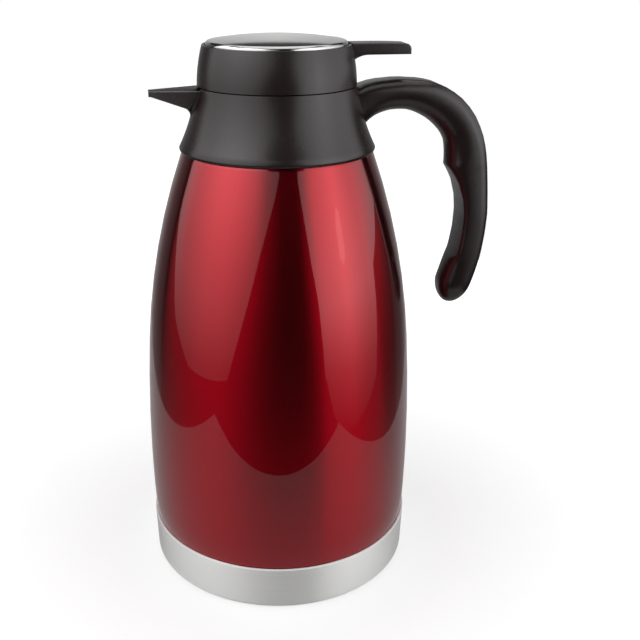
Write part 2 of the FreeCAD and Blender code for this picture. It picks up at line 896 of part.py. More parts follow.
def make_cap_disc():
    wall = s.cap_wall
    edge = cap_radius - s.cap_edge_inset
    edge_top = cap_seat + s.cap_edge_height
    side_top = edge_top - s.cap_edge_round
    bend = arc_radius(s.cap_edge_round, s.cap_edge_inset)
    top = edge_top + s.cap_rise
    # the inside follows the rounded edge one wall further in
    inner_bend = bend - wall
    inner_edge = cap_radius - bend + inner_bend * (bend - s.cap_edge_inset) / bend
    inner_edge_top = side_top + inner_bend * s.cap_edge_round / bend
    return turned("cap_disc", [
        (cap_radius, cap_seat),
        (cap_radius, side_top, bend),
        (edge, edge_top, arc_radius(edge, s.cap_rise)),
        (0, top),
        (0, top - wall, -arc_radius(inner_edge, top - wall - inner_edge_top)),
        (inner_edge, inner_edge_top, -inner_bend),
        (cap_radius - wall, side_top),
        (cap_radius - wall, cap_seat),
    ])


def make_cap_carrier():
    plate = cap_seat + s.carrier_lift
    ring = cap_bore - s.lid_fit
    rim = cap_radius - s.cap_wall - s.cap_edge_inset
    return turned("cap_carrier", [
        (0, plate),
        (ring - s.carrier_ring, plate),
        (ring - s.carrier_ring, carrier_bottom),
        (ring, carrier_bottom),
        (ring, cap_seat),
        (rim, cap_seat),
        (rim, plate + s.carrier_plate),
        (0, plate + s.carrier_plate),
    ])


def screw_circle(body, name, lift, radius):
    # the first of the deck's screws, on the spout's side
    sketch = new_sketch(body, name, "XY_Plane", lift)
    draw_circle(sketch, -s.deck_screw_circle, 0, radius)
    return sketch


def make_lid_deck():
    body = new_body("lid_deck")
    guide_top = deck_top + s.guide_rise
    seal_seat = guide_top - s.stem_seal_height
    seal_bore = stem_bore + s.stem_seal_width
    revolve(body, "deck_turned", [
        (stem_bore, deck_bottom - s.guide_drop),
        (s.guide_radius, deck_bottom - s.guide_drop),
        (s.guide_radius, deck_bottom),
        (deck_radius, deck_bottom),
        (deck_radius, deck_top),
        (s.guide_radius, deck_top),
        (s.guide_radius, guide_top),
        (seal_bore, guide_top),
        (seal_bore, seal_seat),
        (stem_bore, seal_seat),
    ])
    ears = new_sketch(body, "ears_outline", "XZ_Plane")
    pivot, height, hub = pivot_reach, pivot_height, s.hub_radius
    draw(ears, [
        (pivot - s.ear_foot, deck_bottom),
        (pivot + s.ear_foot, deck_bottom),
        (pivot + hub, height, hub),
        (pivot, height + hub, hub),
        (pivot - hub, height),
    ])
    extrude(body, "ears", ears, "Pad", 2 * ear_outside, both_ways=True)
    gap = new_sketch(body, "ear_gap_outline", "XZ_Plane")
    draw(gap, box_path(pivot - 2 * s.ear_foot, deck_top, pivot + 2 * s.ear_foot, height + 2 * hub))
    extrude(body, "ear_gap", gap, "Pocket", 2 * ear_inside, both_ways=True)
    bore = new_sketch(body, "pin_bore_outline", "XZ_Plane")
    draw_circle(bore, pivot, height, s.pin_radius + s.pin_fit)
    extrude(body, "pin_bore", bore, "Pocket", 4 * ear_outside, both_ways=True)
    hole = screw_circle(body, "screw_hole_outline", deck_bottom, s.deck_screw_radius + s.screw_fit)
    cut = extrude(body, "screw_hole", hole, "Pocket", s.deck_height, reverse=True)
    around(body, "screw_holes", [cut], s.deck_screw_count)
    return body


def make_deck_screws():
    body = new_body("deck_screws")
    body.AllowCompound = True
    shank = screw_circle(body, "shank_outline", deck_top, s.deck_screw_radius)
    shanks = extrude(body, "shank", shank, "Pad", s.deck_screw_length, reverse=True)
    head = screw_circle(body, "head_outline", deck_top, s.deck_screw_head)
    heads = extrude(body, "head", head, "Pad", s.deck_screw_head_height)
    around(body, "screws", [shanks, heads], s.deck_screw_count)
    return body


def make_stopper_cup():
    body = new_body("stopper_cup")
    flange_bore = stopper_bore - s.stopper_flange_width
    bead = stopper_radius + s.bead_proud
    revolve(body, "stopper_turned", [
        (s.valve_port, stopper_bottom),
        (stopper_radius, stopper_bottom),
        (stopper_radius, bead_bottom),
        (bead, bead_bottom),
        (bead, bead_top),
        (stopper_radius, bead_top),
        (stopper_radius, deck_bottom),
        (flange_bore, deck_bottom),
        (flange_bore, flange_underside),
        (stopper_bore, flange_underside),
        (stopper_bore, valve_floor),
        (s.valve_port, valve_floor),
    ])
    window = new_sketch(body, "window_outline", "YZ_Plane")
    half = s.window_width / 2
    draw(window, box_path(-half, flange_underside - s.window_height, half, flange_underside))
    cut = extrude(body, "window", window, "Pocket", 2 * stopper_radius, reverse=True)
    around(body, "windows", [cut], s.window_count)
    hole = screw_circle(body, "screw_hole_outline", deck_bottom, s.deck_screw_radius + s.screw_fit)
    cut = extrude(body, "screw_hole", hole, "Pocket", s.stopper_flange)
    around(body, "screw_holes", [cut], s.deck_screw_count)
    return body


def make_stem_seal():
    top = deck_top + s.guide_rise
    low = top - s.stem_seal_height
    return washer("stem_seal", stem_bore, stem_bore + s.stem_seal_width, low, top)


def make_lever_pin():
    pin = doc.addObject("Part::Cylinder", "lever_pin")
    pin.Label = "lever_pin"
    bind(pin, "Radius", s.pin_radius)
    bind(pin, "Height", 2 * ear_outside)
    pin.Placement = FreeCAD.Placement(
        Vector(pivot_reach.number, -ear_outside.number, pivot_height.number),
        FreeCAD.Rotation(Vector(1, 0, 0), -90))
    bind(pin, "Placement.Base.x", pivot_reach)
    bind(pin, "Placement.Base.y", -ear_outside)
    bind(pin, "Placement.Base.z", pivot_height)
    doc.recompute()
    return pin


def make_thumb_lever():
    body = new_body("thumb_lever")
    pivot, height, hub = pivot_reach, pivot_height, s.hub_radius
    inner_end = pivot + s.lever_throat
    step = cap_radius + s.cap_edge_inset
    neck_top_height = carrier_bottom - s.lid_fit
    root_reach = s.lid_radius - s.lever_root
    crown = arc_radius(s.lever_crown_length, s.lever_crown_fall)
    corner_reach = s.lever_reach - s.lever_tip_corner
    corner_height = lever_top - s.lever_crown_fall
    pad = new_sketch(body, "pad_outline", "XZ_Plane")
    draw(pad, [
        (inner_end, height),
        (root_reach, lever_neck_low, -arc_radius(s.lever_root_run, s.lever_root_fall)),
        (root_reach + s.lever_root_run, lever_bottom),
        (s.lever_reach, lever_bottom),
        (s.lever_reach, corner_height - s.lever_tip_corner, s.lever_tip_round),
        (corner_reach, corner_height, crown),
        (corner_reach - s.lever_crown_length, lever_top),
        (step, lever_top),
        (step, neck_top_height),
        (inner_end, neck_top_height),
    ])
    block = extrude(body, "pad", pad, "Pad", 2 * s.lever_half_width, both_ways=True)
    # the upper edges of both sides and of the tip are rounded, the underside stays sharp
    edges = []
    for number, edge in enumerate(block.Shape.Edges, start=1):
        box = edge.BoundBox
        high = box.ZMin > lever_bottom.number - s.lever_proud.number
        if high and box.YLength < s.lever_round.number and box.XMax > s.lid_radius.number:
            edges.append(f"Edge{number}")
    round_edges(body, "pad_rounding", block, edges, s.lever_round)
    fork_low = fork_top - s.fork_height
    arm = new_sketch(body, "arm_outline", "XZ_Plane")
    draw(arm, [
        (-s.fork_overrun, fork_low),
        (pivot - hub, fork_low),
        (pivot - hub, height, hub),
        (pivot, height - hub, hub),
        (pivot + hub, height),
        (inner_end + s.lever_lap, height),
        (inner_end + s.lever_lap, height + hub),
        (pivot, height + hub),
        (pivot - hub, fork_top),
        (-s.fork_overrun, fork_top),
    ])
    extrude(body, "arm", arm, "Pad", 2 * s.hub_half_width, both_ways=True)
    fork = new_sketch(body, "fork_outline", "XY_Plane", fork_low)
    half = s.stem_radius + s.fork_gap
    draw(fork, box_path(-2 * s.fork_overrun, -half, half, half))
    extrude(body, "fork", fork, "Pocket", s.fork_height, reverse=True)
    bore = new_sketch(body, "hinge_bore_outline", "XZ_Plane")
    draw_circle(bore, pivot, height, s.pin_radius + s.pin_fit)
    extrude(body, "hinge_bore", bore, "Pocket", 4 * s.hub_half_width, both_ways=True)
    return body


def make_valve_stem():
    foot = valve_seal_top - s.stem_foot_height
    return turned("valve_stem", [
        (0, foot),
        (s.stem_foot_radius, foot),
        (s.stem_foot_radius, valve_seal_top),
        (s.stem_radius, valve_seal_top),
        (s.stem_radius, lift_bottom),
        (s.stem_tip_radius, lift_bottom),
        (s.stem_tip_radius, lift_top),
        (0, lift_top),
    ])


def make_valve_disc():
    bore = s.stem_radius + s.screw_fit
    edge_top = valve_disc_top - s.valve_disc_bevel
    return turned("valve_disc", [
        (bore, valve_seal_top),
        (valve_radius, valve_seal_top),
        (valve_radius, edge_top),
        (valve_radius - 2 * s.valve_disc_bevel, valve_disc_top),
        (s.valve_disc_hub, valve_disc_top),
        (s.valve_disc_hub, valve_disc_top + s.valve_disc_hub_rise),
        (bore, valve_disc_top + s.valve_disc_hub_rise),
    ])


def make_valve_seal():
    return washer("valve_seal", s.valve_seal_bore, valve_radius, valve_seal_bottom, valve_seal_top)


def make_lift_collar():
    return washer("lift_collar", s.stem_tip_radius + s.screw_fit, s.lift_collar_radius, lift_bottom, lift_top)


def arc_from(start, heading, end):
    # the circular arc that leaves start along heading and reaches end
    chord = end - start
    side = heading - chord * (heading.dot(chord) / chord.dot(chord))
    lean = heading.getAngle(chord)
    middle = start + chord * 0.5 + side.normalize() * (chord.Length / 2 * math.tan(lean / 2))
    return Part.Arc(start, middle, end).toShape()


def biarc(start, heading, end, arrival):
    # two arcs that meet without a corner
    across = end - start
    both = heading + arrival
    spread = 2 * (1 - heading.dot(arrival))
    lean = across.dot(both)
    reach = (math.sqrt(lean * lean + spread * across.dot(across)) - lean) / spread
    joint = (start + end + (heading - arrival) * reach) * 0.5
    return arc_from(start, heading, joint), arc_from(end, arrival * -1, joint)


def spring_point(turn, low, span, turns):
    # the end turns lie close and the working turns share the rest of the length
    closed = s.spring_end_pitch.number
    open_pitch = (span - 2 * closed) / (turns - 2)
    if turn <= 1:
        height, pitch = closed * turn, closed
    elif turn >= turns - 1:
        height, pitch = span - closed * (turns - turn), closed
    else:
        height, pitch = closed + open_pitch * (turn - 1), open_pitch
    angle = 2 * math.pi * turn
    radius = s.spring_radius.number
    point = Vector(radius * math.cos(angle), radius * math.sin(angle), low + height)
    heading = Vector(-radius * math.sin(angle), radius * math.cos(angle), pitch / (2 * math.pi))
    return point, heading.normalize()


def make_valve_spring():
    wire = s.spring_wire.number
    turns = int(s.spring_turns.number)
    low = valve_disc_top.number + s.spring_end_gap.number + wire / 2
    high = deck_bottom.number - s.spring_end_gap.number - wire / 2
    stops = [spring_point(step / 2, low, high - low, turns) for step in range(2 * turns + 1)]
    edges = []
    for (start, heading), (end, arrival) in zip(stops, stops[1:]):
        edges += biarc(start, heading, end, arrival)
    path = Part.Wire(Part.__sortEdges__(edges))
    section = Part.Wire(Part.Circle(stops[0][0], stops[0][1], wire / 2).toShape())
    tube = path.makePipeShell([section], True, False)
    spring = doc.addObject("Part::Feature", "valve_spring")
    spring.Label = "valve_spring"
    spring.Shape = tube
    spring.Placement = FreeCAD.Placement()
    # points that are less than three of a turn's four arcs apart lie on the same turn
    per_arc = 9
    points = [point for edge in path.Edges for point in edge.discretize(per_arc)]
    gap = min((a - b).Length for i, a in enumerate(points) for b in points[i + 3 * per_arc:]) - wire
    full = path.Length * math.pi * wire * wire / 4
    print("spring gap", round(gap, 3), "volume share", round(tube.Volume / full, 4))
    return spring


MAKERS = (
    make_outer_shell, make_inner_vessel, make_shell_bottom, make_seal_button, make_getter, make_base_cup,
    make_neck_gasket, make_throat_ring, make_collar, make_handle, make_handle_screws, make_lid_gasket,
    make_lid_shell, make_cap_disc, make_cap_carrier, make_lid_deck, make_deck_screws, make_stopper_cup,
    make_stem_seal, make_lever_pin, make_thumb_lever, make_valve_stem, make_valve_disc, make_valve_seal,
    make_lift_collar, make_valve_spring,
)
pieces = [make() for make in MAKERS]

doc.recompute()
for item in doc.Objects:
    if "Invalid" in item.State or "Error" in item.State:
        raise RuntimeError(f"{item.Label} failed: {item.State}")
for piece in pieces:
    if piece.Shape.isNull() or not piece.Shape.isValid():
        raise RuntimeError(f"{piece.Label} has no valid shape")

os.makedirs("parts", exist_ok=True)
for piece in pieces:
    piece.Shape.exportStep(f"parts/{piece.Label}.step")
    print(piece.Label, len(piece.Shape.Solids), round(piece.Shape.Volume, 1))
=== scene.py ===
import json
import math

import bmesh
import bpy
from mathutils import Matrix, Vector


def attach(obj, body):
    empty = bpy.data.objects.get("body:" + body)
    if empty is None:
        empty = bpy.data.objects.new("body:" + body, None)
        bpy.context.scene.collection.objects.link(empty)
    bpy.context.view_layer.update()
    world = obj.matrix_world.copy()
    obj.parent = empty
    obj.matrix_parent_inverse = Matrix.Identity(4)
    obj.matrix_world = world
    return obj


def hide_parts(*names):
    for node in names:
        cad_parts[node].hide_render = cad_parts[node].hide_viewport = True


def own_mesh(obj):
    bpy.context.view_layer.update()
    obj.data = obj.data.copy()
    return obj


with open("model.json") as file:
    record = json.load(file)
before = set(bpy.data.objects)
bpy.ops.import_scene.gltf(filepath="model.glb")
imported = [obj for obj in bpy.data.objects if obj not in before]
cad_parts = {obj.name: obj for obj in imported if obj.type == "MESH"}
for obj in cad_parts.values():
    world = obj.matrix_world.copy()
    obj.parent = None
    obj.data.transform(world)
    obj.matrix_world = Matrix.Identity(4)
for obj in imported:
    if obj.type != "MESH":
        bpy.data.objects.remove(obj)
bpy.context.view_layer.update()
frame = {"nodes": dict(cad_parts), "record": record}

mm = 0.001
scene = bpy.context.scene
scene.view_settings.view_transform = "Standard"
print("frame loaded with", len(frame["nodes"]), "pieces")

# camera at the photo's angle
shot = {
    "place": (-0.0712, -0.4767, 0.3328),
    "ahead": (0.1518, 0.9151, -0.3736),
    "lens": 52.27,  # on a 36 mm wide sensor
    "shift": 0.0434,
}
photoCamera = bpy.data.objects.new("photoCamera", bpy.data.cameras.new("photoCamera"))
photoCamera.data.lens = shot["lens"]
photoCamera.data.sensor_width = 36
photoCamera.data.shift_x = shot["shift"]
photoCamera.location = shot["place"]
photoCamera.rotation_euler = Vector(shot["ahead"]).to_track_quat("-Z", "Y").to_euler()
scene.collection.objects.link(photoCamera)
scene.camera = photoCamera
print("camera placed")


class Wire:
    # a socket that can be used in sums

    def __init__(self, paint, socket):
        self.paint = paint
        self.socket = socket

    def sum(self, operation, first, second):
        return self.paint.node("Math", {"operation": operation}, {0: first, 1: second})

    def __add__(self, other):
        return self.sum("ADD", self, other)

    def __radd__(self, other):
        return self.sum("ADD", other, self)

    def __sub__(self, other):
        return self.sum("SUBTRACT", self, other)

    def __rsub__(self, other):
        return self.sum("SUBTRACT", other, self)

    def __mul__(self, other):
        return self.sum("MULTIPLY", self, other)

    def __rmul__(self, other):
        return self.sum("MULTIPLY", other, self)

    def __truediv__(self, other):
        return self.sum("DIVIDE", self, other)

    def __pow__(self, other):
        return self.sum("POWER", self, other)


class Paint:
    # the nodes of one finish

    def __init__(self, owner):
        owner.use_nodes = True
        self.owner = owner
        self.tree = owner.node_tree
        self.tree.nodes.clear()

    def node(self, kind, settings=None, sockets=None, out=0):
        made = self.tree.nodes.new("ShaderNode" + kind)
        for key, value in (settings or {}).items():
            if key == "stops":
                ramp = made.color_ramp.elements
                while len(ramp) < len(value):
                    ramp.new(0.5)
                for stop, (place, grey) in zip(ramp, value):
                    stop.position = place
                    stop.color = (grey, grey, grey, 1)
            else:
                setattr(made, key, value)
        for key, value in (sockets or {}).items():
            if isinstance(value, Wire):
                self.tree.links.new(value.socket, made.inputs[key])
            else:
                made.inputs[key].default_value = value
        return Wire(self, made.outputs[out]) if made.outputs else None

    def mix(self, factor, first, second):
        return self.node("Mix", {"data_type": "RGBA"}, {0: factor, 6: first, 7: second}, 2)

    def noise(self, place, scale, detail=3.0, out=0):
        return self.node("TexNoise", None, {"Vector": place, "Scale": scale, "Detail": detail}, out)

    def ramp(self, factor, stops):
        return self.node("ValToRGB", {"stops": stops}, {0: factor})

    def place(self, stretch=(1, 1, 1)):
        # the piece's own coordinates in metres, stretched along an axis where a pattern runs
        coords = self.node("TexCoord", None, None, 3)
        return self.node("Mapping", None, {"Vector": coords, "Scale": stretch})

    def bump(self, height, distance, strength=1.0):
        return self.node("Bump", None, {"Height": height, "Distance": distance, "Strength": strength})

    def surface(self, sockets):
        shader = self.node("BsdfPrincipled", None, sockets)
        self.node("OutputMaterial", None, {"Surface": shader})
        return self.owner


def newPaint(name):
    return Paint(bpy.data.materials.new(name))


def redLacquer():
    look = {"red": (0.46, 0.0028, 0.0135, 1), "deep": (0.35, 0.0014, 0.0085, 1), "rough": 0.29}
    p = newPaint("redLacquer")
    flakes = p.noise(p.place(), 5200, 2)
    brushed = p.noise(p.place((1, 1, 40)), 90, 3)
    colour = p.mix(flakes, look["deep"], look["red"])
    rough = look["rough"] + 0.02 * (brushed - 0.5)
    peel = p.bump(p.noise(p.place(), 160, 2), 0.00002)
    return p.surface({
        "Base Color": colour,
        "Metallic": 1.0,
        "Roughness": rough,
        "Normal": peel,
        "Anisotropic": 1.0,
        "Anisotropic Rotation": 0.25,
        "Coat Weight": 1.0,
        "Coat Roughness": 0.02,
        "Coat IOR": 1.5,
    })


def turnedSteel(name, grey, rough, lines, spread=0.5, metal=1.0, rim=None):
    p = newPaint(name)
    rings = p.noise(p.place((0.02, 0.02, 1)), lines, 4)
    smudge = p.noise(p.place(), 30, 3)
    colour = p.mix(rings, (grey * 0.91, grey * 0.91, grey * 0.9, 1), (grey, grey, grey * 0.99, 1))
    grain = p.bump(rings, 0.00001)
    if rim:
        # painted highlight: above this height the steel is painted nearly white and made less metallic, in place of the
        # bright line that light leaves along the turned top edge
        height = p.node("SeparateXYZ", None, {0: p.place()}, 2)
        edge = p.ramp((height - rim) / 0.0004, [(0, 0), (1, 1)])
        colour = p.mix(edge, colour, (1, 1, 0.99, 1))
        metal = metal - 0.4 * edge
    return p.surface({
        "Base Color": colour,
        "Metallic": metal,
        "Roughness": rough + 0.1 * (smudge - 0.5),
        "Normal": grain,
        "Anisotropic": spread,
        "Anisotropic Rotation": 0.25,
    })


def mouldedPlastic(name, dark, light, rough, grainDepth):
    p = newPaint(name)
    cloud = p.noise(p.place(), 45, 3)
    grain = p.noise(p.place(), 2600, 2)
    colour = p.mix(cloud, dark, light)
    return p.surface({
        "Base Color": colour,
        "Roughness": rough + 0.08 * (cloud - 0.5),
        "Normal": p.bump(grain, grainDepth),
        "IOR": 1.57,
    })


def softSilicone():
    p = newPaint("softSilicone")
    cloud = p.noise(p.place(), 80, 3)
    colour = p.mix(cloud, (0.55, 0.54, 0.5, 1), (0.66, 0.65, 0.62, 1))
    return p.surface({
        "Base Color": colour,
        "Roughness": 0.55 + 0.1 * (cloud - 0.5),
        "Normal": p.bump(cloud, 0.00002),
    })


def getterMetal():
    p = newPaint("getterMetal")
    grain = p.noise(p.place(), 900, 4)
    colour = p.mix(grain, (0.18, 0.18, 0.19, 1), (0.3, 0.3, 0.31, 1))
    return p.surface({
        "Base Color": colour,
        "Metallic": 0.7,
        "Roughness": 0.6 + 0.2 * (grain - 0.5),
        "Normal": p.bump(grain, 0.00005),
    })


finishes = {
    "red_lacquer": redLacquer(),
    # the last number is the height where the painted highlight along the base cup's top edge begins
    "satin_steel": turnedSteel("satinSteel", 0.92, 0.52, 2600, 0.9, 0.6, 0.0243),
    "cap_steel": turnedSteel("capSteel", 0.72, 0.14, 2600),
    "vessel_steel": turnedSteel("vesselSteel", 0.6, 0.42, 900),
    "bright_steel": turnedSteel("brightSteel", 0.72, 0.22, 3000),
    "black_plastic": mouldedPlastic("blackPlastic", (0.013, 0.0072, 0.0077, 1), (0.017, 0.0094, 0.01, 1), 0.27, 0.00003),
    "inner_plastic": mouldedPlastic("innerPlastic", (0.026, 0.026, 0.027, 1), (0.036, 0.036, 0.037, 1), 0.5, 0.00001),
    "silicone": softSilicone(),
    "getter_metal": getterMetal(),
}
slotOf = {sub["node"]: sub["material_slot"] for sub in frame["record"]["subparts"]}
bodyOf = {node: body for body, nodes in frame["record"]["behaviour"]["bodies"].items() for node in nodes}
for name, piece in frame["nodes"].items():
    piece.data.materials.clear()
    piece.data.materials.append(finishes[slotOf[name]])
print("finishes made:", len(finishes))


def newPiece(name, shape, node, crease=30, stands=True):
    # the finished mesh moves with a CAD node's body, and stands for the node or is added to it
    mesh = bpy.data.meshes.new(name)
    shape.to_mesh(mesh)
    shape.free()
    mesh.polygons.foreach_set("use_smooth", [True] * len(mesh.polygons))
    mesh.set_sharp_from_angle(angle=math.radians(crease))
    made = bpy.data.objects.new(name, mesh)
    scene.collection.objects.link(made)
    mesh.materials.append(finishes[slotOf[node]])
    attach(made, bodyOf[node])
    if stands:
        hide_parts(node)
    return made


def outline(shape, path):
    # closed line in the plane of radius and height, in mm; a third value bends the way to the next point
    corners = [Vector((point[0], 0, point[1])) * mm for point in path]
    bends = [point[2] * mm if len(point) > 2 else None for point in path]
    last = first = shape.verts.new(corners[0])
    for index, bend in enumerate(bends):
        start, end = corners[index], corners[(index + 1) % len(corners)]
        closing = index == len(bends) - 1
        if bend is None:
            following = first if closing else shape.verts.new(end)
            shape.edges.new((last, following))
            last = following
            continue
        chord = end - start
        toCentre = math.sqrt(bend * bend - chord.length_squared / 4)
        side = Vector((-chord.z, 0, chord.x)).normalized() * math.copysign(toCentre, bend)
        sweep = 2 * math.asin(chord.length / 2 / abs(bend))
        turned = bmesh.ops.spin(
            shape, geom=[last], cent=(start + end) / 2 + side, axis=(0, -math.copysign(1, bend), 0),
            angle=sweep, steps=max(3, round(sweep / math.radians(2.5))))
        last = turned["geom_last"][0]
    return shape


def soften(shape, corners, offset, segments=3):
    # rounds the corners of an outline that lie nearest to the given radius and height
    shape.verts.ensure_lookup_table()
    for radius, height in corners:
        target = Vector((radius, 0, height)) * mm
        corner = min(shape.verts, key=lambda vert: (vert.co - target).length)
        bmesh.ops.bevel(shape, geom=[corner], offset=offset * mm, affect="VERTICES", segments=segments, profile=0.5, material=-1)


def turnedPiece(name, node, path, rounded, steps=256):
    shape = outline(bmesh.new(), path)
    for offset, corners in rounded.items():
        soften(shape, corners, offset)
    bmesh.ops.spin(
        shape, geom=shape.verts[:] + shape.edges[:], cent=(0, 0, 0), axis=(0, 0, 1), angle=math.tau,
        steps=steps, use_merge=True)
    bmesh.ops.remove_doubles(shape, verts=shape.verts, dist=0.000002)
    bmesh.ops.recalc_face_normals(shape, faces=shape.faces)
    return newPiece(name, shape, node)


# red outer shell with its rolled foot edge, in mm
shell = {
    "wall": 0.8, "skirt": 72.5, "low": 10.0, "seam": 25.8, "foot": 72.95, "belly": (74.0, 66.6), "shoulder": (71.6, 132.7),
    "rim": (49.8, 234.0), "seat": (46.4, 241.5), "neck": (34.1, 247.0), "top": 254.5, "arcs": (793.2, 911.5, 372.9),
}


def makeOuterShell():
    wall, (footArc, sideArc, topArc) = shell["wall"], shell["arcs"]
    (belly, bellyZ), (shoulder, shoulderZ), (rim, rimZ) = shell["belly"], shell["shoulder"], shell["rim"]
    (seat, seatZ), (neck, neckZ) = shell["seat"], shell["neck"]
    skirt, seam, foot = shell["skirt"], shell["seam"], shell["foot"]
    path = [
        (skirt, shell["low"]), (skirt, seam), (foot, seam, footArc), (belly, bellyZ, sideArc), (shoulder, shoulderZ, topArc),
        (rim, rimZ), (seat, seatZ), (neck, neckZ), (neck, shell["top"]), (neck - wall, shell["top"]),
        (neck - wall, neckZ - wall), (seat - wall, seatZ - wall), (rim - wall, rimZ, -topArc),
        (shoulder - wall, shoulderZ, -sideArc), (belly - wall, bellyZ, -footArc), (foot - wall, seam + wall),
        (skirt - wall, seam + wall), (skirt - wall, shell["low"]),
    ]
    return turnedPiece("outerShell", "outer_shell", path, {0.2: [(foot, seam)], 0.12: [(skirt, seam)], 0.3: [(rim, rimZ)]}, 320)


# steel base cup
cup = {
    "inside": 72.7, "outside": 73.95, "wall": 0.8, "top": 25.1, "step": 8.4, "corner": 2.8, "taper": 0.75, "ring": 5.0,
    "slope": 3.0, "recess": 3.0,
}


def makeBaseCup():
    wall, corner, recess = cup["wall"], cup["corner"], cup["recess"]
    lowSide = cup["outside"] - cup["taper"]
    ringOuter = lowSide - corner
    ringInner = ringOuter - cup["ring"]
    dish = ringInner - cup["slope"]
    path = [
        (0, recess), (dish, recess), (ringInner, 0), (ringOuter, 0, corner), (lowSide, corner), (cup["outside"], cup["top"]),
        (cup["inside"], cup["top"]), (cup["inside"], cup["step"]), (lowSide - wall, corner, wall - corner),
        (ringOuter, wall), (ringInner, wall), (dish, recess + wall), (0, recess + wall),
    ]
    rounded = {0.5: [(cup["outside"], cup["top"])], 0.2: [(cup["inside"], cup["top"])], 1.0: [(dish, recess), (ringInner, 0)]}
    return turnedPiece("baseCup", "base_cup", path, rounded)


# domed steel disc on the lid
disc = {"radius": 35.8, "seat": 285.7, "side": 287.4, "bend": 2.05, "edge": (34.2, 289.4), "top": 292.1, "dome": 217.95, "wall": 0.8}


def makeCapDisc():
    wall, (edge, edgeTop) = disc["wall"], disc["edge"]
    path = [
        (disc["radius"], disc["seat"]), (disc["radius"], disc["side"], disc["bend"]), (edge, edgeTop, disc["dome"]), (0, disc["top"]),
        (0, disc["top"] - wall, 0.3 - disc["dome"]), (edge - 0.18, edgeTop - wall, wall - disc["bend"]),
        (disc["radius"] - wall, disc["side"]), (disc["radius"] - wall, disc["seat"]),
    ]
    made = turnedPiece("capDisc", "cap_disc", path, {0.2: [(disc["radius"], disc["seat"])]})
    made.data.materials[0] = finishes["cap_steel"]  # polished finer than the base cup
    return made


def easedCopy(name, node, width, crease=35, segments=3, weld=0):
    # the moulded piece with the small radius that its mould leaves on every hard edge
    shape = bmesh.new()
    shape.from_mesh(frame["nodes"][node].data)
    bmesh.ops.remove_doubles(shape, verts=shape.verts, dist=0.000004)
    bmesh.ops.dissolve_limit(
        shape, angle_limit=math.radians(0.4), verts=shape.verts, edges=shape.edges, use_dissolve_boundaries=False)
    made = newPiece(name, shape, node, crease)
    for layer in ("custom_normal",):
        if layer in made.data.attributes:
            made.data.attributes.remove(made.data.attributes[layer])
    made.data.materials.clear()
    made.data.materials.append(finishes[slotOf[node]])
    eased = made.modifiers.new("easedEdges", "BEVEL")
    eased.width = width * mm
    eased.segments = segments
    eased.limit_method = "ANGLE"
    eased.angle_limit = math.radians(crease)
    if weld:
        welded = made.modifiers.new("weldedEdges", "WELD")
        welded.merge_threshold = weld * mm
    return made


# hook handle: the fingers' scoop runs out in a full round end
handle = {
    # place along x and z, the way it runs in degrees, depth outwards and towards the pot, inner rounding, half width
    "stations": (
        (36.0, 250.7, 49.0, 9.8, 9.8, 9.0, 11.0), (47.3, 259.1, 21.7, 8.65, 8.65, 9.0, 11.0),
        (57.4, 261.5, 6.3, 7.8, 7.8, 9.0, 11.0), (68.6, 261.5, -6.8, 7.8, 7.8, 9.0, 11.0),
        (79.2, 258.9, -21.8, 9.0, 9.0, 9.8, 11.0), (90.4, 251.9, -41.8, 9.6, 9.6, 10.4, 11.0),
        (98.8, 240.6, -66.8, 9.5, 9.7, 10.6, 11.0), (101.7, 228.3, -83.3, 10.5, 10.7, 10.6, 11.0),
        (102.1, 224.3, -84.0, 10.7, 10.8, 9.5, 11.0), (102.4, 221.2, -84.5, 10.85, 8.9, 7.0, 10.9),
        (102.9, 214.2, -85.1, 11.1, 5.5, 4.6, 10.85), (103.6, 205.0, -86.4, 11.15, 3.4, 3.2, 10.9),
        (104.1, 196.4, -89.6, 11.1, 3.0, 2.8, 11.0), (103.9, 186.0, -93.0, 10.7, 3.3, 2.6, 11.0),
        (103.0, 173.6, -97.6, 9.85, 4.5, 2.6, 11.0), (102.5, 170.2, -99.0, 9.5, 7.0, 7.5, 11.0),
        (101.6, 165.2, -101.0, 9.1, 8.2, 9.0, 11.0), (100.1, 158.6, -103.6, 8.5, 8.9, 9.6, 11.0),
    ),
    "rootCut": ((41.6, 0, 255.7), 17.5),  # a place on the cut and its tilt
    "outerCorner": 5.5,
    "steps": 3,
    "end": 14.3,
    "endShares": (0.2, 0.38, 0.54, 0.68, 0.79, 0.88, 0.945, 0.985, 0.998),
}


def handleRing(shape, x, z, run, outer, inner, innerCorner, half, outerCorner):
    # one rounded section, its corners made by bevels
    older = set(shape.verts)
    sides = ((-half, -inner, innerCorner), (half, -inner, innerCorner), (half, outer, outerCorner), (-half, outer, outerCorner))
    corners = [shape.verts.new((0, side * mm, depth * mm)) for side, depth, _ in sides]
    for corner, following in zip(corners, corners[1:] + corners[:1]):
        shape.edges.new((corner, following))
    for corner, (_, _, rounding) in zip(corners, sides):
        bmesh.ops.bevel(
            shape, geom=[corner], offset=rounding * mm, affect="VERTICES", segments=6, profile=0.5, material=-1)
    fresh = [vert for vert in shape.verts if vert not in older]
    place = Matrix.Translation(Vector((x, 0, z)) * mm) @ Matrix.Rotation(-math.radians(run), 4, "Y")
    bmesh.ops.transform(shape, matrix=place, verts=fresh)
    return list({edge for vert in fresh for edge in vert.link_edges})


def betweenStations(first, second, share):
    # the middle line leaves and reaches the stations along their runs
    start, end = Vector(first[:2]), Vector(second[:2])
    reach = (end - start).length
    leave, arrive = (Vector((math.cos(math.radians(s[2])), math.sin(math.radians(s[2])))) * reach for s in (first, second))
    s, t = 1 - share, share
    place = start * s * s * (1 + 2 * t) + end * t * t * (3 - 2 * t) + leave * s * s * t - arrive * t * t * s
    way = (end - start) * 6 * s * t + leave * s * (1 - 3 * t) + arrive * t * (3 * t - 2)
    rest = [a * s + b * t for a, b in zip(first[3:], second[3:])]
    return (*place, math.degrees(math.atan2(way.y, way.x)), *rest)


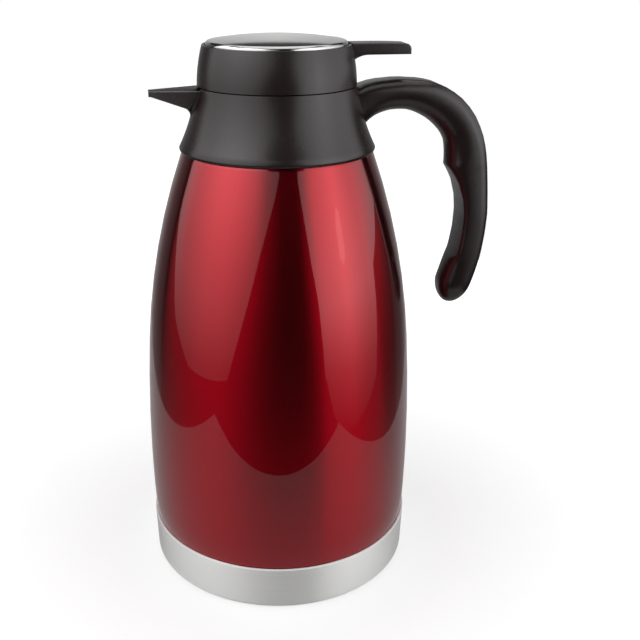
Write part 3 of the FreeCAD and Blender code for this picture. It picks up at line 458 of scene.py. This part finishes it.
def makeHandle():
    stations, outerCorner = handle["stations"], handle["outerCorner"]
    shape = bmesh.new()
    rings = [handleRing(shape, *stations[0], outerCorner)]
    for first, second in zip(stations, stations[1:]):
        for step in range(1, handle["steps"] + 1):
            rings.append(handleRing(shape, *betweenStations(first, second, step / handle["steps"]), outerCorner))
    x, z, run, outer, inner, innerCorner, half = stations[-1]
    for share in handle["endShares"]:
        # the end closes like a quarter of an oval
        shrink = math.sqrt(1 - share * share)
        along = Vector((math.cos(math.radians(run)), math.sin(math.radians(run)))) * handle["end"] * share
        roundness = outerCorner + share * (outer - outerCorner) * 0.95
        rings.append(handleRing(
            shape, x + along.x, z + along.y, run, outer * shrink, inner * shrink, innerCorner * 0.9 * shrink, half * shrink,
            roundness * shrink))
    for first, second in zip(rings, rings[1:]):
        bmesh.ops.bridge_loops(shape, edges=first + second)
    bmesh.ops.edgeloop_fill(shape, edges=rings[-1])
    place, tilt = handle["rootCut"]
    facing = (math.cos(math.radians(tilt)), 0, math.sin(math.radians(tilt)))
    cut = bmesh.ops.bisect_plane(
        shape, geom=shape.verts[:] + shape.edges[:] + shape.faces[:], plane_co=Vector(place) * mm, plane_no=facing, clear_inner=True)
    bmesh.ops.edgeloop_fill(shape, edges=[edge for edge in cut["geom_cut"] if isinstance(edge, bmesh.types.BMEdge)])
    bmesh.ops.recalc_face_normals(shape, faces=shape.faces)
    return newPiece("hookHandle", shape, "handle", 50)


# soft corner where the spout's underside runs into the collar
spoutRoot = {
    # a place in the corner, the way down the collar from there, and the reach of the rounding
    "stations": (
        ((-43.5, 0.0, 255.45), (-0.287, 0.0, -0.958), 4.6), ((-43.3, 2.0, 255.9), (-0.213, 0.498, -0.84), 4.2),
        ((-42.74, 4.0, 257.63), (-0.129, 0.707, -0.696), 3.0), ((-42.0, 6.0, 259.72), (-0.09, 0.715, -0.69), 1.8),
        ((-41.24, 8.0, 261.8), (-0.06, 0.717, -0.697), 1.0), ((-40.38, 10.0, 263.85), (-0.03, 0.72, -0.69), 0.5),
    ),
    "out": (-0.94, 0.0, 0.34),
    "sunk": 0.12,
    "depth": 0.9,
    "steps": 8,
}


def makeSpoutRoot():
    shape = bmesh.new()
    out, sunk = Vector(spoutRoot["out"]), spoutRoot["sunk"]
    halves = [(Vector(corner), Vector(down), reach) for corner, down, reach in spoutRoot["stations"]]
    flip = Vector((1, -1, 1))
    rings = []
    for corner, down, reach in [(c * flip, d * flip, r) for c, d, r in reversed(halves[1:])] + halves:
        start, end = corner + out * reach - down * sunk, corner + down * reach - out * sunk
        shares = [step / spoutRoot["steps"] for step in range(spoutRoot["steps"] + 1)]
        points = [start * (1 - t) ** 2 + corner * 2 * t * (1 - t) + end * t * t for t in shares]
        points.append(corner - (out + down) * spoutRoot["depth"])
        verts = [shape.verts.new(point * mm) for point in points]
        rings.append([shape.edges.new(pair) for pair in zip(verts, verts[1:] + verts[:1])])
    for first, second in zip(rings, rings[1:]):
        bmesh.ops.bridge_loops(shape, edges=first + second)
    for ring in (rings[0], rings[-1]):
        bmesh.ops.edgeloop_fill(shape, edges=ring)
    bmesh.ops.recalc_face_normals(shape, faces=shape.faces)
    return newPiece("spoutRoot", shape, "collar", 60, stands=False)


makeOuterShell()
makeBaseCup()
makeCapDisc()
print("turned pieces made")
makeHandle()
easedCopy("collarMoulding", "collar", 0.35, weld=0.005)
makeSpoutRoot()
easedCopy("lidRing", "lid_shell", 0.35)
easedCopy("thumbLever", "thumb_lever", 0.35)
print("moulded pieces made")

# four-start thread between stopper and throat, whose ridges pass in each other's gaps
thread = {"starts": 4, "lead": 24.0, "sweep": 140, "steps": 42, "root": 2.4, "crest": 1.2}
stopperThread = {"foot": 27.9, "top": 29.05, "low": 243.6}
throatThread = {"foot": 29.5, "top": 28.35, "low": 240.6}


def makeThread(name, node, ridge):
    shape = bmesh.new()
    foot, top, low = ridge["foot"], ridge["top"], ridge["low"]
    turn = math.radians(thread["sweep"])
    climb = thread["lead"] * thread["sweep"] / 360 / thread["steps"]
    for start in range(thread["starts"]):
        sides = ((foot, -thread["root"] / 2), (top, -thread["crest"] / 2), (top, thread["crest"] / 2), (foot, thread["root"] / 2))
        corners = [shape.verts.new(Vector((radius, 0, low + rise)) * mm) for radius, rise in sides]
        edges = [shape.edges.new(pair) for pair in zip(corners, corners[1:] + corners[:1])]
        aim = Matrix.Rotation(math.tau * start / thread["starts"], 3, "Z")
        bmesh.ops.rotate(shape, cent=(0, 0, 0), matrix=aim, verts=corners)
        wound = bmesh.ops.spin(
            shape, geom=corners + edges, cent=(0, 0, 0), axis=(0, 0, 1), dvec=(0, 0, climb * mm), angle=turn, steps=thread["steps"])
        bmesh.ops.edgeloop_fill(shape, edges=edges)
        bmesh.ops.edgeloop_fill(shape, edges=[edge for edge in wound["geom_last"] if isinstance(edge, bmesh.types.BMEdge)])
    bmesh.ops.recalc_face_normals(shape, faces=shape.faces)
    return newPiece(name, shape, node, stands=False)


makeThread("stopperThread", "stopper_cup", stopperThread)
makeThread("throatThread", "throat_ring", throatThread)
print("threads wound")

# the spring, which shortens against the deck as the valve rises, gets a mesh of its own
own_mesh(frame["nodes"]["valve_spring"])

# white table, soft light sheets on both sides, a pale wall behind and the dark room in front
studio = {
    "turn": -8.5,
    "table": ((-0.262, -0.222), (0.229, 6.0)),  # corners as seen from the camera
    "paper": 0.46,
    "lift": 0.62,
    "gloss": 0.1,
    "fill": 0.3,
    "eye": 0.17,
}
cosTurn, sinTurn = math.cos(math.radians(studio["turn"])), math.sin(math.radians(studio["turn"]))


def fromCamera(right, away, height):
    # right and away are measured from the pot's axis as the camera sees it
    return Vector((right * cosTurn - away * sinTurn, right * sinTurn + away * cosTurn, height))


def towards(angle, rise, far):
    # a place seen from the pot's middle, at an angle from the camera's side and a rise above level
    turn, lift = math.radians(angle), math.radians(rise)
    return fromCamera(far * math.sin(turn), -far * math.cos(turn), studio["eye"] + far * math.tan(lift))


def stagePiece(name, shape):
    mesh = bpy.data.meshes.new(name)
    shape.to_mesh(mesh)
    shape.free()
    made = bpy.data.objects.new(name, mesh)
    scene.collection.objects.link(made)
    return made


def lightSheet(name, far, columns, strength, byHeight, byAngle):
    # a curved sheet; its columns give the angle, the lowest and the highest rise
    shape = bmesh.new()
    foot = [shape.verts.new(towards(angle, low, far)) for angle, low, high in columns]
    edges = [shape.edges.new(pair) for pair in zip(foot, foot[1:])]
    raised = bmesh.ops.extrude_edge_only(shape, edges=edges)["geom"]
    heads = [vert for vert in raised if isinstance(vert, bmesh.types.BMVert)]
    for vert, (angle, low, high) in zip(foot, columns):
        head = min(heads, key=lambda other: (other.co - vert.co).length)
        heads.remove(head)
        head.co = towards(angle, high, far)
    made = stagePiece(name, shape)
    p = newPaint(name + "Glow")
    seen = p.node("Mapping", None, {"Vector": p.place(), "Rotation": (0, 0, -math.radians(studio["turn"]))})
    side, away, height = (p.node("SeparateXYZ", None, {0: seen}, axis) for axis in range(3))
    angle = p.node("Math", {"operation": "ARCTAN2"}, {0: side, 1: 0 - away})
    upright = p.ramp((height + 0.4) / 1.65, byHeight)
    across = p.ramp(angle / math.tau + 0.5, [(0.5 + stop / 360, grey) for stop, grey in byAngle])
    glow = p.node("Emission", None, {"Color": upright, "Strength": strength * across})
    p.node("OutputMaterial", None, {"Surface": glow})
    made.data.materials.append(p.owner)
    made.visible_camera = False
    return made


even = [(0, 1), (1, 1)]
lightSheet("leftSheet", 0.95, [
    (2, 27, 30), (-3, 23, 31), (-8, 19, 33), (-16, 11, 38), (-25, 0, 45), (-33, -9, 48), (-42, -18, 48), (-60, -19, 48),
    (-80, -18.5, 48), (-98, -12, 48), (-106, -4, 48), (-114, 3, 48)], 3.3,
    [(0.17, 0.1), (0.224, 0.17), (0.32, 0.28), (0.4, 0.35), (0.62, 0.62), (0.8, 1), (1, 1)], [(-114, 0.78), (-95, 0.7), (-66, 1), (-50, 0.95), (-36, 0.78), (-22, 0.6), (-12, 0.42), (3, 0.32)])
lightSheet("rightSheet", 0.95, [
    (23, 25, 29), (26.4, 17.5, 30), (30, 8, 32), (34, -0.5, 35), (38, -17, 40), (46, -24, 48), (56, -26.5, 48),
    (76, -25, 48), (89, -21, 48), (95, -2, 48), (112, 3, 48), (134, 8, 48)], 2.15,
    [(0.07, 0.04), (0.12, 0.13), (0.17, 0.24), (0.224, 0.45), (0.32, 0.92), (0.4, 1), (0.62, 0.88), (1, 0.72)], [(23, 0.55), (40, 0.76), (58, 1), (66, 1), (84, 0.68), (95, 0.62), (112, 0.44), (134, 0.16)])
lightSheet("rightGlint", 0.9, [(58, 6, 13), (61, 4, 16), (64, 6, 15)], 2.9, even, even)
lightSheet("backSheet", 1.1, [(angle, -35, 25) for angle in range(120, 241, 8)], 0.7, even,
           [(-180, 1), (-170, 0.64), (-158, 0.44), (-135, 0.15), (-120, 0.1), (120, 0.08), (135, 0.12), (158, 0.4), (170, 0.6), (180, 1)])
lightSheet("topSheet", 1.1, [(angle, 43, 59) for angle in range(130, 231, 10)], 1.0, even, even)
drum = lightSheet("darkRoom", 1.3, [(angle, -70, 58) for angle in range(-180, 181, 10)], 0.02, even, even)
drum.visible_diffuse = False

(left, front), (right, back) = studio["table"]
shape = bmesh.new()
shape.faces.new([shape.verts.new(fromCamera(x, y, 0)) for x, y in ((left, front), (right, front), (right, back), (left, back))])
table = stagePiece("tableTop", shape)
p = newPaint("tablePaper")
shown = p.node("LightPath", None, None, 0)
mirrored = p.node("LightPath", None, None, 3)
through = p.node("LightPath", None, None, 6)
paper = p.node("BsdfDiffuse", None, {"Color": (studio["paper"], studio["paper"], studio["paper"], 1)})
away = p.node("VectorMath", {"operation": "LENGTH"}, {0: p.place()}, 1)
pale = p.ramp(away, [(0.1, studio["lift"]), (0.45, 1)])
glow = p.node("Emission", None, {"Color": pale, "Strength": shown + through + studio["gloss"] * mirrored})
both = p.node("AddShader", None, {0: paper, 1: glow})
p.node("OutputMaterial", None, {"Surface": both})
table.data.materials.append(p.owner)

scene.world = bpy.data.worlds.new("studioAir")
p = Paint(scene.world)
shown = p.node("LightPath", None, None, 0)
scattered = p.node("LightPath", None, None, 2)
mirrored = p.node("LightPath", None, None, 3)
through = p.node("LightPath", None, None, 6)
air = p.node("Background", None, {"Color": (1, 1, 1, 1), "Strength": shown + through + mirrored + studio["fill"] * scattered})
p.node("OutputWorld", None, {"Surface": air})
print("studio lit")
